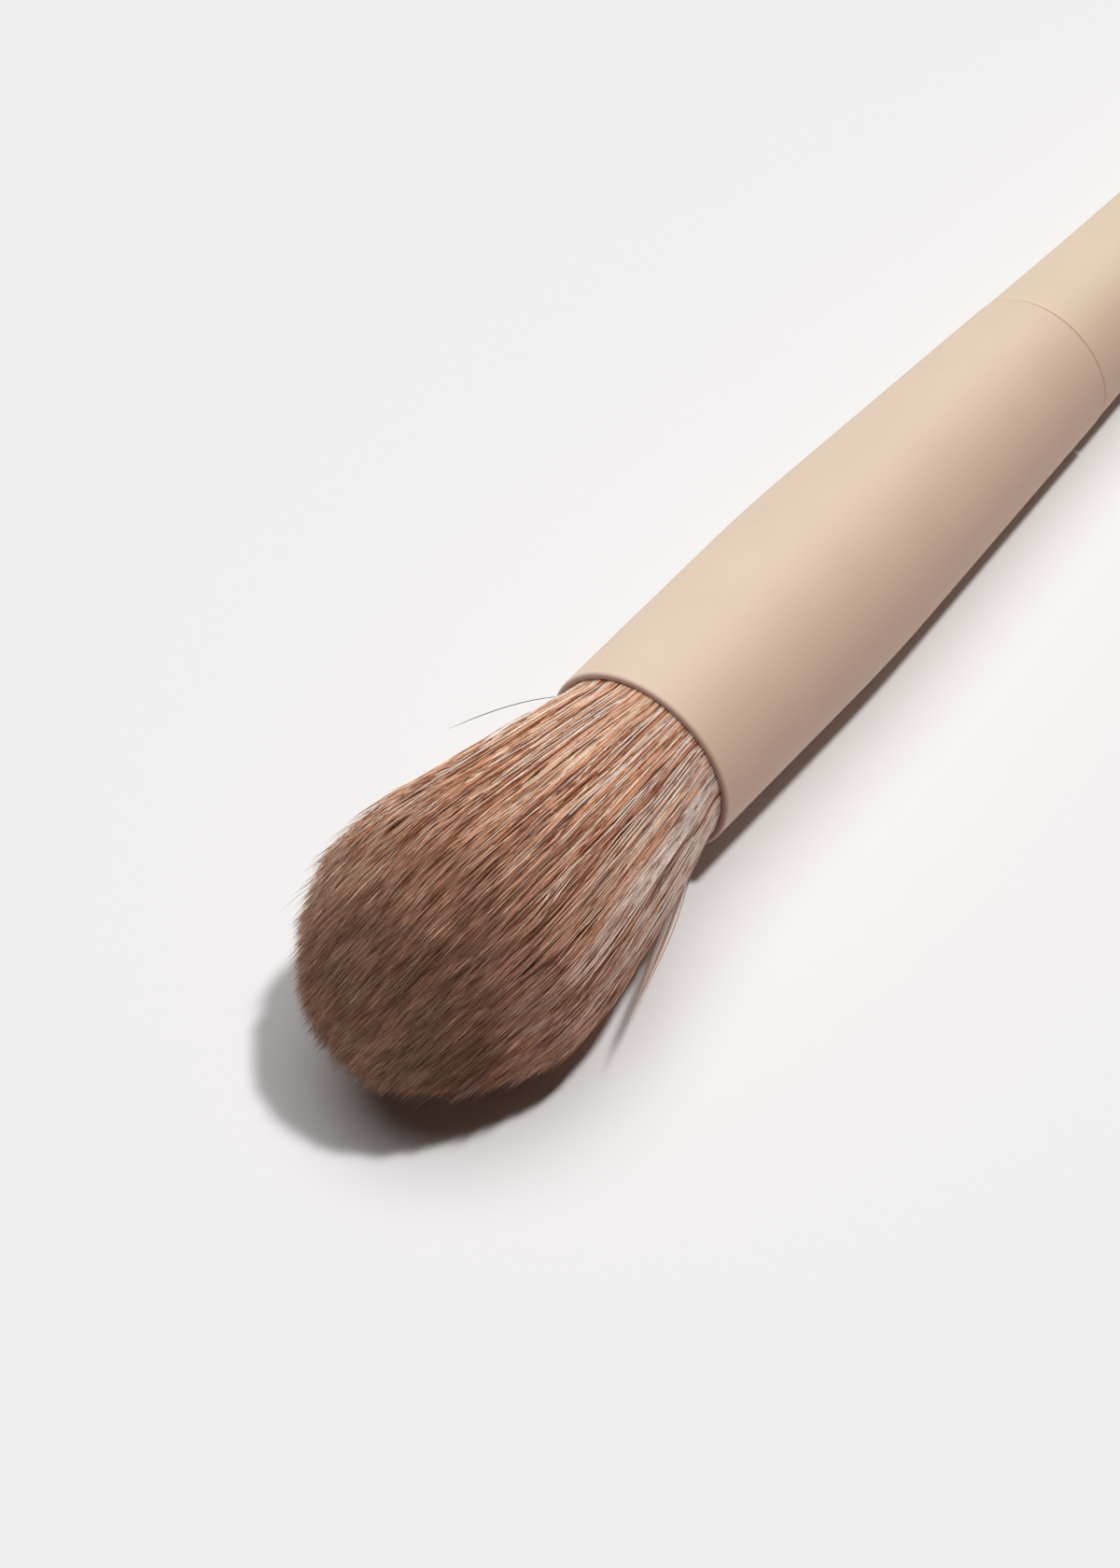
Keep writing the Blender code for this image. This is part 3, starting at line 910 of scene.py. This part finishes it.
def swell_tuft(points, size):
    """Lets the tuft swell where its weight spreads it on the table."""
    hump = np.sin(math.pi * np.clip(points[..., 2] / SWELLING_LENGTH, 0, 1))
    swell = size * beside(points, SWELLING_SIDE, SWELLING_REACH) * hump
    points[..., :2] *= (1 + swell / widening_radius(points[..., 2]))[..., None]


def raise_to_table(points, radius):
    """Lifts points that would lie in the table, in the brush's own axes."""
    above = points[..., 0] * UPWARD.z + points[..., 2] * TO_TIP.z + MOUTH.z
    points[..., 0] += np.maximum(0, radius - above) / UPWARD.z


def keep_in_mouth(points, radius):
    """Draws points that pass through the ferrule's mouth back inside it."""
    reach = np.linalg.norm(points[..., :2], axis=-1)
    room = bore_radius(0) - radius + np.maximum(0, points[..., 2]) * 0.8
    points[..., :2] *= np.minimum(1, room / np.maximum(reach, 1e-9))[..., None]


class Hairs:
    """All that is drawn for the hairs: their roots on a disc, their ends, their locks, wisps and tones."""

    def __init__(self, looks):
        chance = np.random.default_rng(looks.seed)
        self.looks = looks
        self.roots = disc_points(looks.count, 0.35, chance)
        self.locks = disc_points(looks.locks, 0.5, chance)
        self.wisps = disc_points(looks.locks * WISPS_PER_LOCK, 0.5, chance)
        patch = nearest(self.roots, disc_points(PATCHES, 0.5, chance))
        self.lock = nearest(self.roots, self.locks)
        self.wisp = nearest(self.roots, self.wisps)
        self.share = np.linalg.norm(self.roots, axis=1)
        self.tones = hair_tones(self.roots, self.wisps, self.wisp, self.locks, self.lock, chance)
        patch_tone = chance.normal(0, 0.08, PATCHES)[patch]
        copper = self.tones < COPPER_TONES[1]
        self.tones = np.where(copper, np.clip(self.tones + patch_tone, *COPPER_TONES), self.tones)
        self.outward = self.roots / np.maximum(self.share, 1e-9)[:, None]
        self.side = np.arctan2(self.roots[:, 1], self.roots[:, 0])
        self.short = (self.share > SHORT_FROM) & (chance.random(looks.count) < looks.short_share)
        self.standing = (self.share > STANDING_FROM) & (chance.random(looks.count) < looks.standing_share)
        self.ends = self.choose_ends(chance)
        self.brown_shift = self.uneven_brown(chance)
        self.draw_bends(chance)

    def facing(self, side):
        """How squarely each hair lies on a side of the tuft: 1 on it, 0 from a quarter turn away."""
        return np.maximum(0, np.cos(self.side - side))

    def shared_draws(self, lock_spread, wisp_spread, chance):
        """For each hair, a number drawn for its lock plus one drawn for its wisp."""
        with_lock = chance.normal(0, lock_spread, len(self.locks))[self.lock]
        return with_lock + chance.normal(0, wisp_spread, len(self.wisps))[self.wisp]

    def choose_ends(self, chance):
        """Where the hairs end: on the dome, a little uneven, drawn back underneath, some of them early."""
        looks = self.looks
        by_lock, by_wisp, by_hair = END_SPREADS
        under = self.facing(UNDERSIDE) ** 1.5 * eased(self.share, 0.4, 0.9)
        uneven = self.shared_draws(by_lock, by_wisp, chance)
        uneven -= np.abs(chance.normal(0, by_hair, looks.count))
        ends = hair_end(self.share * RIM_SHARE) - UNDERSIDE_TRIM * under
        ends += looks.tip_scatter * uneven * (1 + 0.8 * under)
        early = chance.uniform(*EARLY_BY, looks.count)
        return ends - early * (self.short | self.standing)

    def uneven_brown(self, chance):
        """How much further from its tip each hair turns brown."""
        size = self.looks.brown_scatter
        by_lock, by_wisp, by_hair = (size * spread for spread in BROWN_SPREADS)
        return self.shared_draws(by_lock, by_wisp, chance) + chance.normal(0, by_hair, len(self.roots))

    def copper_reach(self):
        """How much nearer to their tips the hairs stay copper: at the tuft's edges as painted light where
        the lamps catch them, and on the short ones.
        """
        # Painted light: copper reaches further on the lit side and on the right edge
        at_edge = np.maximum(self.facing(LIT_SIDE), 0.7 * self.facing(RIGHT_EDGE))
        at_edge *= eased(self.share, 0.6, 1.0)
        early = 0.5 * (self.short | self.standing)
        return self.looks.lit_copper_edge * np.maximum(at_edge, early) + self.brown_shift

    def draw_bends(self, chance):
        """How each hair waves, leans and stands off."""
        looks = self.looks
        self.lock_wave = Wave(len(self.locks), LOCK_WAVE, LOCK_WAVE_LENGTHS, chance)
        self.hair_wave = Wave(looks.count, HAIR_WAVE, HAIR_WAVE_LENGTHS, chance)
        self.wisp_pulse = Wave(len(self.wisps), 1.0, WISP_PULSE_LENGTHS, chance)
        self.lock_lean = chance.normal(0, LOCK_DRIFT, (len(self.locks), 2))
        self.hair_lean = chance.normal(0, HAIR_DRIFT, (looks.count, 2))
        sideways = self.outward[:, ::-1] * (1, -1)
        crosses = chance.random(looks.count) < CROSSING_SHARE
        crosses = crosses * chance.normal(0, CROSSING, looks.count)
        self.hair_lean += sideways * crosses[:, None]
        splay = chance.uniform(0.0, 1.0, (looks.count, 1)) ** 2 * looks.splay
        self.hair_lean += self.outward * splay * self.short[:, None]
        lift = chance.uniform(0.1, 1.0, looks.count) * looks.standing + (1 - self.share) * BELLY_RADIUS
        lift *= 1 - 0.6 * self.facing(RIGHT_EDGE)
        self.lift = self.outward * (lift * self.standing)[:, None]

    def lay_out(self, which, places):
        """The points of these hairs, from inside the root to the tip."""
        looks = self.looks
        start = -ROOT_SETBACK - ROOT_HOLD
        heights = start + (self.ends[which, None] - start) * places
        along = np.clip(heights / HAIR_OUT, 0, 1)[:, :, None]
        free = eased(heights, FREE_FROM, FREE_AT)[:, :, None]
        wisp = self.wisp[which]
        lock = self.lock[which]
        roots = self.roots[which]
        to_wisp = (self.wisps[wisp] - roots)[:, None, :]
        to_lock = (self.locks[lock] - roots)[:, None, :]
        pulse = 0.5 + 0.5 * self.wisp_pulse.steady(wisp, heights)[:, :, None]
        near_tip = np.clip((places - TIP_FROM) / (1 - TIP_FROM), 0, 1)[None, :, None] ** 2
        spread = roots[:, None, :] + to_wisp * looks.gathering * (0.5 + 0.5 * pulse) * free
        spread = spread + to_lock * LOCK_GATHERING * (0.4 * along + 0.6 * near_tip)
        radius = widening_radius(heights) - looks.hair_radius
        radius -= THINNING * eased(heights, 0.0, THINNED_AT)
        points = np.zeros((*heights.shape, 3))
        points[:, :, :2] = spread * radius[:, :, None]
        points[:, :, 2] = heights
        waves = self.lock_wave.shift(lock, heights) + self.hair_wave.shift(which, heights)
        points[:, :, :2] += waves * free
        points[:, :, :2] += (self.lock_lean[lock] + self.hair_lean[which])[:, None, :] * along ** 1.2
        points[:, :, :2] += self.lift[which][:, None, :] * near_tip
        swell_tuft(points, looks.swelling)
        keep_in_mouth(points, looks.hair_radius)
        raise_to_table(points, looks.hair_radius)
        return points


def triangle_section(radius):
    """The three-sided section of a hair, as a curve to bevel with."""
    curve = bpy.data.curves.new("hair_section", "CURVE")
    curve.dimensions = "2D"
    outline = curve.splines.new("POLY")
    outline.points.add(2)
    outline.use_cyclic_u = True
    for k, corner in enumerate(outline.points):
        angle = math.tau * k / 3
        corner.co = (radius * math.cos(angle), radius * math.sin(angle), 0.0, 1.0)
    return new_object("hair_section", curve)


def strand_mesh(name, points, widths, radius, u_places, tones, material):
    """Hairs as closed tapered tubes, with the map that their colour reads."""
    section = triangle_section(radius)
    curve = bpy.data.curves.new(name, "CURVE")
    curve.dimensions = "3D"
    curve.bevel_mode = "OBJECT"
    curve.bevel_object = section
    weights = np.ones((*points.shape[:2], 4), np.float32)
    weights[:, :, :3] = points
    thickness = np.broadcast_to(widths, points.shape[:2]).astype(np.float32)
    for hair_points, hair_widths in zip(weights, thickness):
        spline = curve.splines.new("POLY")
        spline.points.add(len(hair_points) - 1)
        spline.points.foreach_set("co", hair_points.ravel())
        spline.points.foreach_set("radius", hair_widths.ravel())
    holder = new_object(name, curve)
    bpy.context.view_layer.update()
    evaluated = holder.evaluated_get(bpy.context.evaluated_depsgraph_get())
    mesh = bpy.data.meshes.new_from_object(evaluated)
    mesh.name = name
    bpy.data.objects.remove(holder)
    bpy.data.objects.remove(section)
    map_hairs(mesh, u_places, tones)
    form = bmesh.new()
    form.from_mesh(mesh)
    bmesh.ops.remove_doubles(form, verts=form.verts, dist=MERGE_DISTANCE)
    bmesh.ops.recalc_face_normals(form, faces=form.faces)
    form.to_mesh(mesh)
    form.free()
    mesh.shade_smooth()
    mesh.materials.clear()
    mesh.materials.append(material)
    return mesh


def map_hairs(mesh, u_places, tones):
    """Gives each hair's corners its distance from the tip and its tone, a little apart round the hair."""
    while mesh.uv_layers:
        mesh.uv_layers.remove(mesh.uv_layers[0])
    around = np.arange(3) / 3 * 0.006
    u = np.repeat(u_places, 3, axis=1).ravel()
    v = (tones[:, None, None] + np.broadcast_to(around, (*u_places.shape, 3))).ravel()
    corner = np.zeros(len(mesh.loops), np.int32)
    mesh.loops.foreach_get("vertex_index", corner)
    own_map = mesh.uv_layers.new(name="OFBake")
    own_map.data.foreach_set("uv", np.stack([u[corner], v[corner]], 1).astype(np.float32).ravel())


def through(start, middle, end, places):
    """Points on the parabola through three points."""
    t = places[..., None]
    first = np.array(start) * (1 - t) * (1 - 2 * t)
    second = np.array(middle) * 4 * t * (1 - t)
    third = np.array(end) * t * (2 * t - 1)
    return first + second + third


def root_profile():
    """The resin-set bundle, drawn in to a waist where the thread holds it."""
    radius = bore_radius(0) - FIT_GAP
    back = ROOT_SETBACK + ROOT_LENGTH
    waist_back = back - WAIST_FROM_END
    waist_front = waist_back - WAIST_LENGTH
    return [
        (0.0, ROOT_SETBACK),
        (radius, ROOT_SETBACK),
        (radius, waist_front - WAIST_DEPTH / 2),
        (radius - WAIST_DEPTH, waist_front),
        (radius - WAIST_DEPTH, waist_back),
        (radius, waist_back + WAIST_DEPTH / 2),
        (radius, back),
        (0.0, back),
    ]


class BRUSH_OT_tuft(bpy.types.Operator):
    """Grow the tuft: a set root bundle and its hairs, in equal sectors"""

    bl_idname = "blush_brush.tuft"
    bl_label = "Tuft"

    def execute(self, context):
        looks = context.scene.brush_hair
        root = turned_mesh("tuft_root", root_profile())
        root.materials.append(set_roots())
        settle(root, "tuft_root", "hair", "bristle_tuft")
        hairs = Hairs(looks)
        material = hair()
        shown = hairs.share > SHOWN_FROM
        for name, chosen, places, widths in (
            ("outer", shown, SHOWN_PLACES, SHOWN_WIDTHS),
            ("inner", ~shown, INNER_PLACES, INNER_WIDTHS),
        ):
            which = np.flatnonzero(chosen)
            points = hairs.lay_out(which, places)
            from_tip = (hairs.ends + hairs.copper_reach())[which, None] - points[:, :, 2] + TIP_MARGIN
            from_tip = np.clip(from_tip / TONE_LENGTH, 0.0, 1.0)
            turn = hairs.side[which] / math.tau % 1.0
            sector = (turn * SECTORS).astype(int)
            for k in range(SECTORS):
                here = sector == k
                piece_name = f"tuft_{name}_hair_{k + 1}"
                mesh = strand_mesh(
                    piece_name, points[here], widths, looks.hair_radius,
                    from_tip[here], hairs.tones[which][here], material,
                )
                settle(mesh, piece_name, "hair", "bristle_tuft")
        return {"FINISHED"}


# Loose hair: three points of its arc as (up, across, height)
STRAY_HAIR = (
    (4.30 * MM, 6.20 * MM, 0.3 * MM),
    (5.72 * MM, 8.30 * MM, 4.6 * MM),
    (6.95 * MM, 10.10 * MM, 10.7 * MM),
)
STRAY_LOCK = (
    (-4.65 * MM, -7.60 * MM, 4.5 * MM),
    (-4.25 * MM, -10.90 * MM, 12.8 * MM),
    (-4.10 * MM, -13.70 * MM, 21.0 * MM),
)


class BRUSH_OT_loose_hair(bpy.types.Operator):
    """Lay the single hair that stands off on the left and the thin lock that hangs off on the right"""

    bl_idname = "blush_brush.loose_hair"
    bl_label = "Loose hair"

    def execute(self, context):
        looks = context.scene.brush_hair
        chance = np.random.default_rng(looks.seed + 5)
        material = bpy.data.materials["dyed_hair"]
        places = SHOWN_PLACES
        stray = through(*STRAY_HAIR, places)[None]
        fixed = np.full((1, len(places)), 0.9)
        radius = looks.hair_radius * 0.6
        mesh = strand_mesh("stray_hair", stray, SHOWN_WIDTHS, radius, fixed, np.array([0.97]), material)
        settle(mesh, "stray_hair", "hair", "bristle_tuft")
        count = looks.stray_lock_count
        lock = through(*STRAY_LOCK, places * chance.uniform(0.75, 1.0, (count, 1)))
        thickness = 0.5 + 0.5 * np.sin(math.pi * np.clip(places * 1.15, 0, 1))
        lock += chance.normal(0, 0.2 * MM, (count, 1, 3)) * thickness[None, :, None]
        raise_to_table(lock, looks.hair_radius)
        tones = pick_tones(np.full(count, 0.6), np.full(count, 0.05), chance)
        fixed = np.full((count, len(places)), 0.6)
        radius = looks.hair_radius * 0.7
        mesh = strand_mesh("stray_lock", lock, SHOWN_WIDTHS, radius, fixed, tones, material)
        settle(mesh, "stray_lock", "hair", "bristle_tuft")
        return {"FINISHED"}


# Stage

def camera_axes(heading, decline, roll):
    """The camera's right, up and forward directions."""
    forward = Vector((
        math.cos(heading) * math.cos(decline),
        math.sin(heading) * math.cos(decline),
        -math.sin(decline),
    ))
    level = Vector((math.sin(heading), -math.cos(heading), 0.0))
    upright = level.cross(forward)
    right = level * math.cos(roll) + upright * math.sin(roll)
    return right, right.cross(forward), forward


def add_camera(looks):
    """The camera at the photograph's angle; it aims just in front of the mouth."""
    right, up, forward = camera_axes(looks.heading, looks.decline, looks.roll)
    aim = Vector((MOUTH.x - 4.66 * MM, 4.31 * MM, 10.01 * MM))
    spot = aim - forward * looks.distance
    camera = new_object("camera", bpy.data.cameras.new("camera"))
    camera.matrix_world = Matrix((
        (right.x, up.x, -forward.x, spot.x),
        (right.y, up.y, -forward.y, spot.y),
        (right.z, up.z, -forward.z, spot.z),
        (0.0, 0.0, 0.0, 1.0),
    ))
    camera.data.sensor_fit = "VERTICAL"
    camera.data.sensor_height = 36
    camera.data.lens = looks.lens
    camera.data.clip_start = 0.01
    camera.data.clip_end = 10
    bpy.context.scene.camera = camera


def add_sun(name, strength, across, along, softness, colour, receivers):
    """A distant lamp that leans from overhead by its degrees across and along the table.

    A face turned to it gets this share of full light, and its softness is its width in degrees.
    """
    lamp = bpy.data.lights.new(name, "SUN")
    across = math.radians(across)
    along = math.radians(along)
    sideways = math.sin(across) * math.cos(along)
    source = Vector((math.sin(along), sideways, math.cos(across) * math.cos(along)))
    lamp.energy = math.pi * strength
    lamp.angle = math.radians(softness)
    lamp.color = colour
    sun = new_object(name, lamp)
    sun.rotation_mode = "QUATERNION"
    sun.rotation_quaternion = source.to_track_quat("Z", "Y")
    sun.light_linking.receiver_collection = receivers


def add_sky(colour, strength):
    world = bpy.data.worlds.new("studio")
    world.use_nodes = True
    world.node_tree.nodes["Background"].inputs["Color"].default_value = (*colour, 1.0)
    world.node_tree.nodes["Background"].inputs["Strength"].default_value = strength
    bpy.context.scene.world = world


def add_floor(colour):
    mesh = bpy.data.meshes.new("table")
    form = bmesh.new()
    bmesh.ops.create_grid(form, x_segments=1, y_segments=1, size=3.0)
    form.to_mesh(mesh)
    form.free()
    mesh.materials.append(floor_finish(colour))
    table = new_object("table", mesh)
    table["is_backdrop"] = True
    return table


def gathered(name, pieces):
    """A collection that only tells a lamp what it lights."""
    collection = bpy.data.collections.new(name)
    for piece in pieces:
        collection.objects.link(piece)
    return collection


class BRUSH_OT_stage(bpy.types.Operator):
    """Set the camera, the floor and the lamps"""

    bl_idname = "blush_brush.stage"
    bl_label = "Stage"

    def execute(self, context):
        looks = context.scene.brush_stage
        add_camera(looks)
        brush = gathered("brush_pieces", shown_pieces())
        lacquered_pieces = [bpy.data.objects[name] for name in ("ferrule_tube", "handle_body")]
        lacquered = gathered("lacquered_pieces", lacquered_pieces)
        hair_pieces = [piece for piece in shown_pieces() if "hair" in piece.name or "lock" in piece.name]
        tuft = gathered("tuft_pieces", hair_pieces)
        table = add_floor(looks.floor_colour)
        table_only = gathered("table_only", [table])
        cool = (0.9, 0.95, 1.0)
        warm = (1.0, 0.935, 0.91)
        add_sky(warm, 0.02)
        add_sun("table_key", 0.645, -22, 4.5, 5, (1.0, 1.0, 1.0), table_only)
        add_sun("table_soft", 0.39, 3, 0, 48, (1.0, 0.98, 0.98), table_only)
        add_sun("brush_overhead", 0.44, 0, 0, 60, warm, brush)
        add_sun("brush_front", 0.12, 0, -45, 60, cool, brush)
        add_sun("brush_back", 0.16, 0, 45, 60, cool, brush)
        add_sun("brush_top", 0.15, -5, 0, 40, warm, brush)
        add_sun("lacquer_left", 0.40, 45, -12, 50, (0.82, 0.87, 1.0), lacquered)
        add_sun("lacquer_right", 0.125, -78, 0, 24, (1.0, 0.60, 0.62), lacquered)
        add_sun("hair_left", 0.46, 45, -12, 50, (0.94, 0.93, 0.97), tuft)
        add_sun("hair_right", 0.21, -78, 0, 24, (1.0, 0.76, 0.76), tuft)
        context.scene.view_settings.view_transform = "Standard"
        return {"FINISHED"}


class BRUSH_PT_panel(bpy.types.Panel):
    """Shows the brush's settings and the buttons that build it"""

    bl_idname = "BRUSH_PT_panel"
    bl_label = "Blush brush"
    bl_space_type = "VIEW_3D"
    bl_region_type = "UI"
    bl_category = "Blush brush"

    def draw(self, context):
        for group in GROUPS:
            box = self.layout.box()
            looks = getattr(context.scene, group)
            for name in looks.bl_rna.properties.keys():
                if name not in ("rna_type", "name"):
                    box.prop(looks, name)
        for operator in OPERATORS:
            self.layout.operator(operator.bl_idname)


GROUPS = {"brush_lacquer": BrushLacquer, "brush_hair": BrushHair, "brush_stage": BrushStage}
OPERATORS = (
    BRUSH_OT_ferrule, BRUSH_OT_handle, BRUSH_OT_inner_pieces, BRUSH_OT_tuft, BRUSH_OT_loose_hair,
    BRUSH_OT_stage,
)
CLASSES = (*GROUPS.values(), *OPERATORS, BRUSH_PT_panel)


def register():
    for made in CLASSES:
        bpy.utils.register_class(made)
    for name, group in GROUPS.items():
        setattr(bpy.types.Scene, name, PointerProperty(type=group))


def unregister():
    for name in GROUPS:
        delattr(bpy.types.Scene, name)
    for made in reversed(CLASSES):
        bpy.utils.unregister_class(made)


def main():
    register()
    bpy.ops.blush_brush.ferrule()
    bpy.ops.blush_brush.handle()
    bpy.ops.blush_brush.inner_pieces()
    bpy.ops.blush_brush.tuft()
    bpy.ops.blush_brush.loose_hair()
    bpy.ops.blush_brush.stage()


if __name__ == "__main__":
    main()
